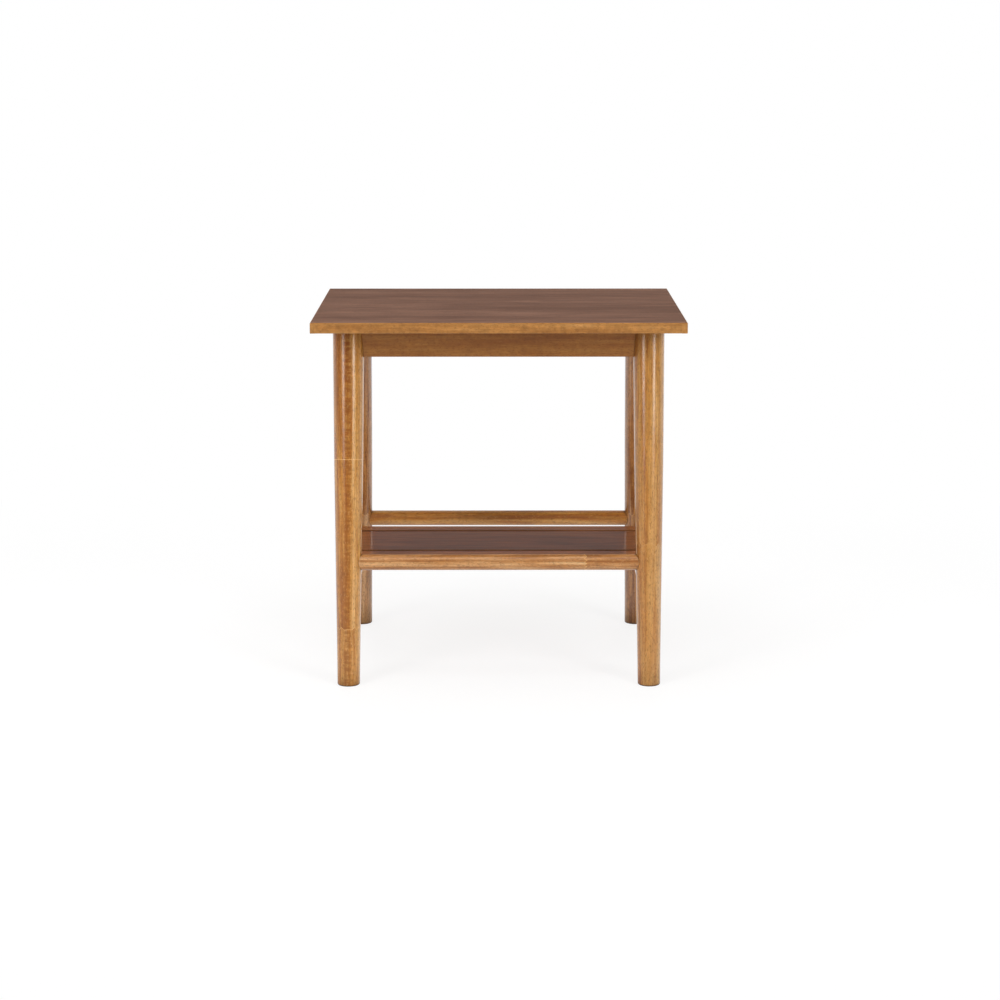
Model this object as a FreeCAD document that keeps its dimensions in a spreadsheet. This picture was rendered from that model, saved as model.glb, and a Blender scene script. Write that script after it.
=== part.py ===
import FreeCAD, Part
import os

import Sketcher
from FreeCAD import Placement, Rotation, Vector

# End table with a low shelf. Four turned legs lean out towards the front and the back. Aprons
# and round stretchers join them, two side rails carry a shelf of one board and two slats, and
# screws through the corner blocks hold the top. The top is a panel between solid edge bands,
# with one sheet of veneer over them all.
#
# X runs from left to right, Y from front to back and Z up. The origin is on the floor, under
# the middle of the top. Lengths are in millimetres.

SIZES = (
    ("top_width", 559, "top, left to right over its edge bands"),
    ("top_depth", 457, "top, front to back over its edge bands"),
    ("table_height", 559, "floor to the surface of the top"),
    ("top_thickness", 16, "panel or edge band, and the veneer over it"),
    ("veneer_thickness", 2, "sheet of veneer over the panel and its edge bands"),
    ("veneer_round", 1.5, "eased upper edges of the veneer, held to three quarters of it"),
    ("band_width", 8, "solid wood edge band round the panel"),
    ("edge_round", 1.2, "eased edges of the edge bands and the shelf"),
    ("leg_side_inset", 50.7, "side edge of the top to a leg's axis"),
    ("leg_head_inset", 115.5, "front edge of the top to a front leg's axis, under the top"),
    ("leg_foot_inset", 34, "front edge of the top to a front leg's axis, at the floor"),
    ("leg_foot_diameter", 33.6, "lower end of the turned blank"),
    ("leg_knee_diameter", 44.1, "where the long taper of the leg ends"),
    ("leg_knee_share", 0.61, "share of a leg's length below its knee"),
    ("leg_head_diameter", 48.2, "upper end of the turned blank"),
    ("leg_spare", 12, "blank beyond the floor and beyond the top, cut off level"),
    ("foot_round", 2, "rounded edge of a foot"),
    ("apron_height", 49, "all four aprons"),
    ("apron_thickness", 20, "all four aprons"),
    ("apron_round", 1.5, "eased lower edges of the aprons"),
    ("pin_diameter", 8, "dowel pins between aprons and legs"),
    ("pin_length", 36, "dowel pins"),
    ("pin_web", 3, "wood left in a leg between the bores of its two aprons"),
    ("stretcher_rise", 2, "surface of the shelf to the axis of the round stretchers"),
    ("stretcher_diameter", 24.4, "round stretchers between their shoulders"),
    ("tenon_diameter", 16, "turned tenons of the stretchers"),
    ("socket_floor", 3, "leg axis to the bottom of a tenon socket"),
    ("shelf_height", 182, "floor to the surface of the shelf"),
    ("board_thickness", 15, "shelf board and slats"),
    ("shelf_setback", 57, "axis of a stretcher to the outer edge of the slat beside it"),
    ("slat_width", 31, "front and rear slats of the shelf"),
    ("slat_gap", 10, "gap between the middle board and a slat"),
    ("shelf_overhang", 2, "shelf past the outer faces of its rails"),
    ("rail_width", 24, "side rails under the shelf"),
    ("rail_height", 34, "side rails under the shelf"),
    ("rail_round", 2, "eased lower edges of the side rails"),
    ("rail_tenon_width", 10, "flat tenons of the side rails"),
    ("rail_tenon_height", 24, "flat tenons of the side rails"),
    ("block_height", 40, "corner blocks, from the underside of the top"),
    ("block_thickness", 24, "corner blocks, across the corner"),
    ("block_leg_gap", 5, "corner block to the leg behind it"),
    ("block_screw_setback", 15, "long edge of a corner block to its screws"),
    ("block_grip", 10, "corner block under the head of a screw into an apron"),
    ("screw_diameter", 4, "shank of the wood screws"),
    ("screw_point", 5, "tapered point of the wood screws"),
    ("screw_head_diameter", 8, "domed head of the wood screws"),
    ("screw_head_height", 2.6, "domed head of the wood screws"),
    ("screw_cover", 5, "wood left between a screw's point and the surface beyond it"),
    ("recess_gap", 0.75, "screw head to its recess, all round"),
    ("glue_gap", 0.1, "tenon, pin or screw to its bore, all round"),
    ("end_gap", 0.6, "end of a tenon, pin or screw to the bottom of its bore"),
    ("cope_gap", 0.15, "coped shoulder to the round of the leg"),
)

# Places worked out from the sizes, as expressions of the sheet.
UNDER_TOP = "(sizes.table_height - sizes.top_thickness)"
PANEL_THICKNESS = "(sizes.top_thickness - sizes.veneer_thickness)"
LEG_X = "(sizes.top_width / 2 - sizes.leg_side_inset)"
SLOPE = f"((sizes.leg_head_inset - sizes.leg_foot_inset) / {UNDER_TOP})"
SPLAY = f"atan({SLOPE})"
LEG_LENGTH = f"({UNDER_TOP} / cos({SPLAY}))"
LEG_WASTE = "(sizes.leg_spare + sizes.leg_head_diameter)"
LEG_KNEE = f"(sizes.leg_knee_share * {LEG_LENGTH})"
APRON_MIDDLE = f"({UNDER_TOP} - sizes.apron_height / 2)"
STRETCHER_Z = "(sizes.shelf_height + sizes.stretcher_rise)"
RAIL_TOP = "(sizes.shelf_height - sizes.board_thickness)"
RAIL_MIDDLE = f"({RAIL_TOP} - sizes.rail_height / 2)"
PIN_LEVELS = ("-sizes.apron_height / 4", "-sizes.apron_height * 3 / 4")
PIN_FLOOR = "(sizes.pin_diameter / 2 + sizes.pin_web)"
PIN_BORE = "(sizes.pin_diameter + 2 * sizes.glue_gap)"
SCREW_BORE = "(sizes.screw_diameter + 2 * sizes.glue_gap)"
SCREW_RECESS = "(sizes.screw_head_diameter + 2 * sizes.recess_gap)"


def leg_y(height):
    """Distance of a leg's axis from the middle of the table, front to back, at a height."""
    return f"(sizes.top_depth / 2 - sizes.leg_foot_inset - {SLOPE} * {height})"


APRON_Y = leg_y(APRON_MIDDLE)
STRETCHER_Y = leg_y(STRETCHER_Z)
SLAT_Y = f"({STRETCHER_Y} - sizes.shelf_setback - sizes.slat_width / 2)"
BOARD_WIDTH = f"(2 * ({SLAT_Y} - sizes.slat_width / 2 - sizes.slat_gap))"
BOARD_SCREW_Y = f"({BOARD_WIDTH} / 4)"

# A corner block's plan, from the corner where the inner faces of two aprons would meet.
BLOCK_NOSE = "(sizes.leg_head_diameter / 2 + sizes.block_leg_gap)"
BLOCK_NEAR = f"(sqrt(2) * {BLOCK_NOSE} - sizes.apron_thickness)"
BLOCK_FAR = f"({BLOCK_NEAR} + sqrt(2) * sizes.block_thickness)"
BLOCK_SCREW = f"({BLOCK_FAR} - sizes.block_screw_setback)"
TOP_SCREW = f"(({BLOCK_NEAR} + {BLOCK_FAR}) / 4)"

# Wood under the screw heads, and how far the screws go into what they hold.
TOP_GRIP = "(sizes.block_height / 2)"
RAIL_GRIP = "(sizes.rail_height / 2)"
APRON_HOLD = "(sizes.apron_thickness - sizes.screw_cover)"
TOP_HOLD = f"({PANEL_THICKNESS} - sizes.screw_cover)"
SHELF_HOLD = "(sizes.board_thickness - sizes.screw_cover)"

# Signs of X and of Y on each side and at each end of the table.
SIDES = {"left": -1, "right": 1}
ENDS = {"front": -1, "rear": 1}
TOLERANCE = 0.001

# How a sketch numbers the points of a line or a circle, and its own axes.
SKETCH_NUMBERS = {"start": 1, "end": 2, "centre": 3, "own axes": -1}


def make_sheet(doc):
    """The driving sizes, each with its meaning beside it."""
    sheet = doc.addObject("Spreadsheet::Sheet", "sizes")
    for row, (name, value, meaning) in enumerate(SIZES, start=1):
        sheet.set(f"A{row}", meaning)
        sheet.set(f"B{row}", str(value))
        sheet.setAlias(f"B{row}", name)
    doc.recompute()


def bind(item, path, values):
    """Bind the x, y and z of a vector property to three expressions."""
    for axis, value in zip("xyz", values):
        item.setExpression(f"{path}.{axis}", value)


def half_turn(sign):
    """Turn about the vertical that brings a front or left piece to the rear or the right."""
    return 0 if sign < 0 else 180


def new_body(doc, node, place, turn=0):
    """A body with its origin at a place, turned about the vertical."""
    body = doc.addObject("PartDesign::Body", node)
    body.Label = node
    body.Placement = Placement(Vector(), Rotation(Vector(0, 0, 1), turn))
    bind(body, "Placement.Base", place)
    return body


def new_sketch(body, name, role, shift=("0", "0", "0")):
    """A sketch on one of the body's origin planes, shifted across, up and out of that plane."""
    plane = next(item for item in body.Origin.OriginFeatures if item.Role == role)
    sketch = body.newObject("Sketcher::SketchObject", name)
    sketch.AttachmentSupport = [(plane, "")]
    sketch.MapMode = "FlatFace"
    bind(sketch, "AttachmentOffset.Base", shift)
    return sketch


def pin_point(sketch, geometry, point, across, up):
    """Fix the start, end or centre of a line or circle at its distances from the origin."""
    place = sketch.getPoint(geometry, SKETCH_NUMBERS[point])
    origin = (SKETCH_NUMBERS["own axes"], SKETCH_NUMBERS["start"])
    target = (geometry, SKETCH_NUMBERS[point])
    for kind, distance, value in (("DistanceX", place.x, across), ("DistanceY", place.y, up)):
        rule = sketch.addConstraint(Sketcher.Constraint(kind, *origin, *target, distance))
        sketch.setExpression(f"Constraints[{rule}]", value)


def draw_outline(sketch, corners):
    """A closed outline of straight lines through the corners."""
    count = len(corners)
    turns = [Rotation(Vector(0, 0, 1), 360 * index / count) for index in range(count)]
    spots = [turn.multVec(Vector(1, 0, 0)) for turn in turns]
    for index in range(count):
        sketch.addGeometry(Part.LineSegment(spots[index], spots[(index + 1) % count]), False)
    for index in range(count):
        this_end = (index, SKETCH_NUMBERS["end"])
        next_start = ((index + 1) % count, SKETCH_NUMBERS["start"])
        sketch.addConstraint(Sketcher.Constraint("Coincident", *this_end, *next_start))
    for index, (across, up) in enumerate(corners):
        pin_point(sketch, index, "start", across, up)


def draw_rectangle(sketch, left, right, bottom, top):
    draw_outline(sketch, ((left, bottom), (right, bottom), (right, top), (left, top)))


def draw_circle(sketch, across, up, diameter):
    """A circle with its centre and its diameter fixed."""
    circle = sketch.addGeometry(Part.Circle(Vector(1, 1, 0), Vector(0, 0, 1), 1), False)
    pin_point(sketch, circle, "centre", across, up)
    rule = sketch.addConstraint(Sketcher.Constraint("Diameter", circle, 1))
    sketch.setExpression(f"Constraints[{rule}]", diameter)


def pad(body, sketch, length, midplane=False, reverse=False):
    feature = body.newObject("PartDesign::Pad", f"{sketch.Name}_pad")
    feature.Profile = sketch
    feature.setExpression("Length", length)
    feature.Midplane = midplane
    feature.Reversed = reverse
    body.Document.recompute()


def revolve(body, sketch):
    """Turn a sketch once round its own vertical axis."""
    feature = body.newObject("PartDesign::Revolution", f"{sketch.Name}_turn")
    feature.Profile = sketch
    feature.ReferenceAxis = (sketch, ["V_Axis"])
    feature.Angle = 360
    body.Document.recompute()


def check_cut(body, before, sketch):
    """A cut that points away from the wood removes nothing, so its volume is compared."""
    body.Document.recompute()
    if body.Shape.Volume >= before:
        raise RuntimeError(f"{body.Label}: {sketch.Name} cuts nothing")


def cut(body, sketch, midplane=False, reverse=False):
    """A pocket through all that lies against the sketch's normal, or along it if reversed."""
    before = body.Shape.Volume
    feature = body.newObject("PartDesign::Pocket", f"{sketch.Name}_cut")
    feature.Profile = sketch
    feature.Type = "ThroughAll"
    feature.Midplane = midplane
    feature.Reversed = reverse
    check_cut(body, before, sketch)


def round_edges(body, name, radius, chosen):
    """Fillet the edges of the body that the test `chosen` picks out."""
    base = body.Tip
    numbers = [index for index, edge in enumerate(base.Shape.Edges, start=1) if chosen(edge)]
    feature = body.newObject("PartDesign::Fillet", name)
    feature.Base = (base, [f"Edge{number}" for number in numbers])
    feature.setExpression("Radius", radius)
    body.Document.recompute()


def spans(edge, axis):
    """Whether an edge runs straight along an axis."""
    box = edge.BoundBox
    lengths = {"x": box.XLength, "y": box.YLength, "z": box.ZLength}
    along = lengths.pop(axis)
    return along > TOLERANCE and max(lengths.values()) < TOLERANCE


def at(value, target):
    return abs(value - target) < TOLERANCE


def lowest(body):
    """Height of the body's lowest edge."""
    return min(edge.BoundBox.ZMin for edge in body.Tip.Shape.Edges)


def ease_lower_edges(body, axis, radius):
    """Ease the two lower edges that run along an axis."""
    low = lowest(body)
    round_edges(body, "lower_edges", radius,
                lambda edge: spans(edge, axis) and at(edge.BoundBox.ZMax, low))


# ---------------------------------------------------------------- legs

def draw_leg_profile(sketch, lean, grow="0"):
    """Half of a leg's length section, turned over so that the sketch's vertical is its axis.

    The sketch's origin is where the leg's axis meets the floor. The blank runs past the floor
    and past the top by the spare length. `grow` adds to the radius all along.
    """
    sketch.AttachmentOffset = Placement(Vector(), Rotation(Vector(0, 0, lean), 1))
    sketch.setExpression("AttachmentOffset.Rotation.Angle", SPLAY)
    foot = "-sizes.leg_spare"
    head = f"({LEG_LENGTH} + sizes.leg_spare)"
    draw_outline(sketch, (
        ("0", foot),
        (f"sizes.leg_foot_diameter / 2 + {grow}", foot),
        (f"sizes.leg_knee_diameter / 2 + {grow}", LEG_KNEE),
        (f"sizes.leg_head_diameter / 2 + {grow}", head),
        ("0", head),
    ))


def cut_leg_cope(body, name, floor_point, end):
    """Hollow a shoulder to the round of the leg whose axis meets the floor at a point."""
    x, y, z = floor_point
    before = body.Shape.Volume
    sketch = new_sketch(body, name, "YZ_Plane", (y, z, x))
    draw_leg_profile(sketch, end, "sizes.cope_gap")
    feature = body.newObject("PartDesign::Groove", f"{name}_groove")
    feature.Profile = sketch
    feature.ReferenceAxis = (sketch, ["V_Axis"])
    feature.Angle = 360
    check_cut(body, before, sketch)


def trim_level(body, name, bottom, top):
    """Cut away all of a leaning leg between two heights."""
    sketch = new_sketch(body, name, "YZ_Plane")
    draw_rectangle(sketch, "-sizes.top_depth", "sizes.top_depth", bottom, top)
    cut(body, sketch, midplane=True)


def make_leg(doc, node, side, end):
    """A turned leg, cut level at both ends, with the bores for all that joins it.

    Its own frame has Y towards the middle of the table, and its inner side is at +X or -X.
    """
    inner = side * end
    inner_is_plus = inner > 0
    turn = half_turn(end)
    body = new_body(doc, node, (f"{side} * {LEG_X}", f"{end} * {leg_y('0')}", "0"), turn)

    profile = new_sketch(body, "leg_profile", "YZ_Plane")
    draw_leg_profile(profile, ENDS["front"])
    revolve(body, profile)
    trim_level(body, "foot_trim", f"-{LEG_WASTE}", "0")
    trim_level(body, "head_trim", UNDER_TOP, f"{UNDER_TOP} + {LEG_WASTE}")

    foot_level = lowest(body)
    round_edges(body, "foot_edge", "sizes.foot_round", lambda edge: at(edge.BoundBox.ZMax, foot_level))

    socket = new_sketch(body, "stretcher_socket", "YZ_Plane", ("0", "0", f"{inner} * sizes.socket_floor"))
    draw_circle(socket, f"{SLOPE} * {STRETCHER_Z}", STRETCHER_Z, "sizes.tenon_diameter + 2 * sizes.glue_gap")
    cut(body, socket, reverse=inner_is_plus)

    long_bores = new_sketch(body, "long_apron_bores", "YZ_Plane", ("0", "0", f"{inner} * {PIN_FLOOR}"))
    side_bores = new_sketch(body, "side_apron_bores", "XZ_Plane",
                            ("0", "0", f"-({SLOPE} * {APRON_MIDDLE} + {PIN_FLOOR})"))
    for level in PIN_LEVELS:
        draw_circle(long_bores, f"{SLOPE} * {APRON_MIDDLE}", f"{UNDER_TOP} + {level}", PIN_BORE)
        draw_circle(side_bores, "0", f"{UNDER_TOP} + {level}", PIN_BORE)
    cut(body, long_bores, reverse=inner_is_plus)
    cut(body, side_bores)

    mortise = new_sketch(body, "rail_mortise", "XZ_Plane",
                         ("0", "0", f"-({SLOPE} * {RAIL_MIDDLE} + sizes.socket_floor)"))
    half_width = "(sizes.rail_tenon_width / 2 + sizes.glue_gap)"
    half_height = "(sizes.rail_tenon_height / 2 + sizes.glue_gap)"
    draw_rectangle(mortise, f"-{half_width}", half_width,
                   f"{RAIL_MIDDLE} - {half_height}", f"{RAIL_MIDDLE} + {half_height}")
    cut(body, mortise)
    return body


# ---------------------------------------------------------------- aprons

def make_long_apron(doc, node, end):
    """The front or rear apron, between its two legs, with shoulders coped to their round."""
    turn = half_turn(end)
    body = new_body(doc, node, ("0", f"{end} * {APRON_Y}", UNDER_TOP), turn)
    face = new_sketch(body, "apron_face", "XZ_Plane")
    draw_rectangle(face, f"-{LEG_X}", LEG_X, "-sizes.apron_height", "0")
    pad(body, face, "sizes.apron_thickness", midplane=True)
    ease_lower_edges(body, "x", "sizes.apron_round")

    deep_end = f"({LEG_X} - {PIN_FLOOR} - sizes.pin_length - 2 * sizes.end_gap)"
    for side_name, side in SIDES.items():
        floor_point = (f"{side} * {LEG_X}", f"-{SLOPE} * {APRON_MIDDLE}", f"-{UNDER_TOP}")
        cut_leg_cope(body, f"{side_name}_cope", floor_point, ENDS["front"])
        bores = new_sketch(body, f"{side_name}_bores", "YZ_Plane", ("0", "0", f"{side} * {deep_end}"))
        for level in PIN_LEVELS:
            draw_circle(bores, "0", level, PIN_BORE)
        cut(body, bores, reverse=side > 0)

    pilot_floor = f"({APRON_HOLD} + sizes.end_gap - sizes.apron_thickness / 2)"
    pilots = new_sketch(body, "screw_pilots", "XZ_Plane", ("0", "0", pilot_floor))
    for side in SIDES.values():
        across = f"{side} * ({LEG_X} - sizes.apron_thickness / 2 - {BLOCK_SCREW})"
        draw_circle(pilots, across, "-sizes.block_height / 2", SCREW_BORE)
    cut(body, pilots)
    return body


def make_side_apron(doc, node, side):
    """A side apron, between a front and a rear leg. Its own frame has X towards the middle."""
    turn = half_turn(side)
    body = new_body(doc, node, (f"{side} * {LEG_X}", "0", UNDER_TOP), turn)
    face = new_sketch(body, "apron_face", "YZ_Plane")
    reach = leg_y(f"({UNDER_TOP} - sizes.apron_height)")
    draw_rectangle(face, f"-{reach}", reach, "-sizes.apron_height", "0")
    pad(body, face, "sizes.apron_thickness", midplane=True)
    ease_lower_edges(body, "y", "sizes.apron_round")

    deep_end = f"({APRON_Y} - {PIN_FLOOR} - sizes.pin_length - 2 * sizes.end_gap)"
    for end_name, end in ENDS.items():
        cut_leg_cope(body, f"{end_name}_cope", ("0", f"{end} * {leg_y('0')}", f"-{UNDER_TOP}"), end)
        bores = new_sketch(body, f"{end_name}_bores", "XZ_Plane", ("0", "0", f"-{end} * {deep_end}"))
        for level in PIN_LEVELS:
            draw_circle(bores, "0", level, PIN_BORE)
        cut(body, bores, reverse=end < 0)

    pilot_floor = f"(sizes.apron_thickness / 2 - {APRON_HOLD} - sizes.end_gap)"
    pilots = new_sketch(body, "screw_pilots", "YZ_Plane", ("0", "0", pilot_floor))
    for end in ENDS.values():
        across = f"{end} * ({APRON_Y} - sizes.apron_thickness / 2 - {BLOCK_SCREW})"
        draw_circle(pilots, across, "-sizes.block_height / 2", SCREW_BORE)
    cut(body, pilots, reverse=True)
    return body


def corner_place(side, end):
    """Where the inner faces of two aprons would meet, under the top."""
    x = f"{side} * ({LEG_X} - sizes.apron_thickness / 2)"
    y = f"{end} * ({APRON_Y} - sizes.apron_thickness / 2)"
    return x, y, UNDER_TOP


def corner_turn(side, end):
    """Turn that brings +X and +Y of a front left corner to another corner of the table."""
    front_turn, rear_turn = (0, 270) if side == SIDES["left"] else (90, 180)
    return front_turn if end == ENDS["front"] else rear_turn


def make_corner_block(doc, node, side, end):
    """A block across the corner of two aprons, with its nose cut back clear of the leg."""
    body = new_body(doc, node, corner_place(side, end), corner_turn(side, end))
    plan = new_sketch(body, "block_plan", "XY_Plane")
    draw_outline(plan, ((BLOCK_NEAR, "0"), (BLOCK_FAR, "0"), ("0", BLOCK_FAR), ("0", BLOCK_NEAR)))
    pad(body, plan, "sizes.block_height", reverse=True)

    level = "-sizes.block_height / 2"
    for name, role, outward in (("front", "XZ_Plane", -1), ("side", "YZ_Plane", 1)):
        recess = new_sketch(body, f"{name}_recess", role, ("0", "0", f"{outward} * sizes.block_grip"))
        draw_circle(recess, BLOCK_SCREW, level, SCREW_RECESS)
        cut(body, recess, reverse=outward > 0)
        bore = new_sketch(body, f"{name}_bore", role)
        draw_circle(bore, BLOCK_SCREW, level, SCREW_BORE)
        cut(body, bore, reverse=outward > 0)

    recess = new_sketch(body, "top_screw_recess", "XY_Plane", ("0", "0", f"-{TOP_GRIP}"))
    draw_circle(recess, TOP_SCREW, TOP_SCREW, SCREW_RECESS)
    cut(body, recess)
    bore = new_sketch(body, "top_screw_bore", "XY_Plane")
    draw_circle(bore, TOP_SCREW, TOP_SCREW, SCREW_BORE)
    cut(body, bore)
    return body


# ---------------------------------------------------------------- stretchers and shelf

def make_stretcher(doc, node, end):
    """A round stretcher with coped shoulders and a turned tenon in each leg."""
    turn = half_turn(end)
    body = new_body(doc, node, ("0", f"{end} * {STRETCHER_Y}", STRETCHER_Z), turn)
    bar = new_sketch(body, "bar", "YZ_Plane")
    draw_circle(bar, "0", "0", "sizes.stretcher_diameter")
    pad(body, bar, f"2 * {LEG_X}", midplane=True)
    for side_name, side in SIDES.items():
        floor_point = (f"{side} * {LEG_X}", f"-{SLOPE} * {STRETCHER_Z}", f"-{STRETCHER_Z}")
        cut_leg_cope(body, f"{side_name}_cope", floor_point, ENDS["front"])
    tenons = new_sketch(body, "tenons", "YZ_Plane")
    draw_circle(tenons, "0", "0", "sizes.tenon_diameter")
    pad(body, tenons, f"2 * ({LEG_X} - sizes.socket_floor - sizes.end_gap)", midplane=True)
    return body


def make_rail(doc, node, side):
    """A side rail under the shelf, with coped shoulders and a flat tenon in each leg."""
    turn = half_turn(side)
    body = new_body(doc, node, (f"{side} * {LEG_X}", "0", RAIL_TOP), turn)
    face = new_sketch(body, "rail_face", "YZ_Plane")
    reach = leg_y(f"({RAIL_TOP} - sizes.rail_height)")
    draw_rectangle(face, f"-{reach}", reach, "-sizes.rail_height", "0")
    pad(body, face, "sizes.rail_width", midplane=True)
    ease_lower_edges(body, "y", "sizes.rail_round")
    for end_name, end in ENDS.items():
        cut_leg_cope(body, f"{end_name}_cope", ("0", f"{end} * {leg_y('0')}", f"-{RAIL_TOP}"), end)

    tenons = new_sketch(body, "tenons", "YZ_Plane")
    tip = f"({leg_y(RAIL_MIDDLE)} - sizes.socket_floor - sizes.end_gap)"
    shoulder = "(sizes.rail_height - sizes.rail_tenon_height) / 2"
    draw_rectangle(tenons, f"-{tip}", tip, f"{shoulder} - sizes.rail_height", f"-{shoulder}")
    pad(body, tenons, "sizes.rail_tenon_width", midplane=True)

    recesses = new_sketch(body, "screw_recesses", "XY_Plane", ("0", "0", f"-{RAIL_GRIP}"))
    bores = new_sketch(body, "screw_bores", "XY_Plane")
    for end in ENDS.values():
        for place in (BOARD_SCREW_Y, SLAT_Y):
            draw_circle(recesses, "0", f"{end} * {place}", SCREW_RECESS)
            draw_circle(bores, "0", f"{end} * {place}", SCREW_BORE)
    cut(body, recesses)
    cut(body, bores)
    return body


def make_shelf_piece(doc, node, y, width, screw_places):
    """A board or slat across the two rails, with pilot holes in its underside."""
    body = new_body(doc, node, ("0", y, "sizes.shelf_height"))
    plan = new_sketch(body, "plan", "XY_Plane")
    half_length = f"({LEG_X} + sizes.rail_width / 2 + sizes.shelf_overhang)"
    draw_rectangle(plan, f"-{half_length}", half_length, f"-{width} / 2", f"{width} / 2")
    pad(body, plan, "sizes.board_thickness", reverse=True)
    round_edges(body, "surface_edges", "sizes.edge_round", lambda edge: at(edge.BoundBox.ZMin, 0))
    pilot_floor = f"({SHELF_HOLD} + sizes.end_gap - sizes.board_thickness)"
    pilots = new_sketch(body, "screw_pilots", "XY_Plane", ("0", "0", pilot_floor))
    for side in SIDES.values():
        for place in screw_places:
            draw_circle(pilots, f"{side} * {LEG_X}", place, SCREW_BORE)
    cut(body, pilots)
    return body


# ---------------------------------------------------------------- top

def make_top_panel(doc, node):
    """The panel inside its edge bands, with pilot holes for the four screws."""
    body = new_body(doc, node, ("0", "0", UNDER_TOP))
    plan = new_sketch(body, "plan", "XY_Plane")
    half_width = "(sizes.top_width / 2 - sizes.band_width)"
    half_depth = "(sizes.top_depth / 2 - sizes.band_width)"
    draw_rectangle(plan, f"-{half_width}", half_width, f"-{half_depth}", half_depth)
    pad(body, plan, PANEL_THICKNESS)
    pilots = new_sketch(body, "screw_pilots", "XY_Plane", ("0", "0", f"({TOP_HOLD} + sizes.end_gap)"))
    for side in SIDES.values():
        for end in ENDS.values():
            x, y, _ = top_screw_place(side, end)
            draw_circle(pilots, x, y, SCREW_BORE)
    cut(body, pilots)
    return body


def make_edge_band(doc, node, length, place, turn):
    """A solid wood band under the veneer. Its own frame has -Y on the outside."""
    body = new_body(doc, node, place, turn)
    plan = new_sketch(body, "plan", "XY_Plane")
    draw_rectangle(plan, f"-{length} / 2", f"{length} / 2", "0", "sizes.band_width")
    pad(body, plan, PANEL_THICKNESS)
    return body


def ease_band(body, ends_too):
    """Ease a band's lower outer edge, and its upright outer corners where they show."""
    def shows(edge):
        outside = at(edge.BoundBox.YMax, 0)
        lower = spans(edge, "x") and at(edge.BoundBox.ZMax, 0)
        corner = ends_too and spans(edge, "z")
        return outside and (lower or corner)

    round_edges(body, "outer_edges", "sizes.edge_round", shows)


def make_face_veneer(doc, node):
    """The sheet of veneer over the panel and its bands, with its edges sanded round."""
    body = new_body(doc, node, ("0", "0", f"{UNDER_TOP} + {PANEL_THICKNESS}"))
    plan = new_sketch(body, "plan", "XY_Plane")
    half_width = "(sizes.top_width / 2)"
    half_depth = "(sizes.top_depth / 2)"
    draw_rectangle(plan, f"-{half_width}", half_width, f"-{half_depth}", half_depth)
    pad(body, plan, "sizes.veneer_thickness")
    round_edges(body, "corners", "sizes.edge_round", lambda edge: spans(edge, "z"))
    surface = max(edge.BoundBox.ZMin for edge in body.Tip.Shape.Edges)
    round_edges(body, "surface_edges", "min(sizes.veneer_round; sizes.veneer_thickness * 3 / 4)",
                lambda edge: at(edge.BoundBox.ZMin, surface))
    return body


# ---------------------------------------------------------------- pins and screws

def make_group(doc, node, master, placements):
    """Copies of one small piece, kept together as a group of separate solids."""
    copies = []
    for place, rotation in placements:
        copy = doc.addObject("App::Link", f"{node}_copy")
        copy.LinkedObject = master
        copy.Placement = Placement(Vector(), rotation)
        bind(copy, "Placement.Base", place)
        copies.append(copy)
    group = doc.addObject("Part::Compound", node)
    group.Label = node
    group.Links = copies
    return group


ALONG_X = Rotation(Vector(0, 1, 0), 90)
ALONG_Y = Rotation(Vector(1, 0, 0), 90)
UPWARDS = Rotation(Vector(1, 0, 0), 180)


def make_pins(doc, node):
    """The dowel pins, two in each joint between an apron and a leg."""
    master = new_body(doc, "dowel_pin", ("0", "0", "0"))
    section = new_sketch(master, "pin_section", "XY_Plane")
    draw_circle(section, "0", "0", "sizes.pin_diameter")
    pad(master, section, "sizes.pin_length", midplane=True)

    middle = f"({PIN_FLOOR} + sizes.end_gap + sizes.pin_length / 2)"
    placements = []
    for side in SIDES.values():
        for end in ENDS.values():
            for level in PIN_LEVELS:
                height = f"{UNDER_TOP} + {level}"
                in_long = (f"{side} * ({LEG_X} - {middle})", f"{end} * {APRON_Y}", height)
                in_side = (f"{side} * {LEG_X}", f"{end} * ({APRON_Y} - {middle})", height)
                placements.append((in_long, ALONG_X))
                placements.append((in_side, ALONG_Y))
    return make_group(doc, node, master, placements)


def make_screw(doc, name, grip, hold):
    """A wood screw. Its own frame has the seat of the head at the origin and the point down."""
    master = new_body(doc, name, ("0", "0", "0"))
    profile = new_sketch(master, "screw_profile", "XZ_Plane")
    tip = f"-({grip} + {hold})"
    draw_outline(profile, (
        ("0", "sizes.screw_head_height"),
        ("sizes.screw_head_diameter / 4", "sizes.screw_head_height"),
        ("sizes.screw_head_diameter / 2", "sizes.screw_head_height / 2"),
        ("sizes.screw_head_diameter / 2", "0"),
        ("sizes.screw_diameter / 2", "0"),
        ("sizes.screw_diameter / 2", f"{tip} + sizes.screw_point"),
        ("0", tip),
    ))
    revolve(master, profile)
    return master


def make_block_screws(doc, node):
    """The screws that hold each corner block to its two aprons."""
    placements = []
    height = f"{UNDER_TOP} - sizes.block_height / 2"
    for side in SIDES.values():
        for end in ENDS.values():
            x, y, _ = corner_place(side, end)
            into_long = (f"{x} - {side} * {BLOCK_SCREW}", f"{y} - {end} * sizes.block_grip", height)
            into_side = (f"{x} - {side} * sizes.block_grip", f"{y} - {end} * {BLOCK_SCREW}", height)
            placements.append((into_long, Rotation(Vector(1, 0, 0), end * 90)))
            placements.append((into_side, Rotation(Vector(0, 1, 0), side * -90)))
    master = make_screw(doc, "block_screw", "sizes.block_grip", APRON_HOLD)
    return make_group(doc, node, master, placements)


def top_screw_place(side, end):
    """Seat of the head of a screw that holds the top, inside its corner block."""
    x, y, _ = corner_place(side, end)
    return f"{x} - {side} * {TOP_SCREW}", f"{y} - {end} * {TOP_SCREW}", f"{UNDER_TOP} - {TOP_GRIP}"


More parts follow.
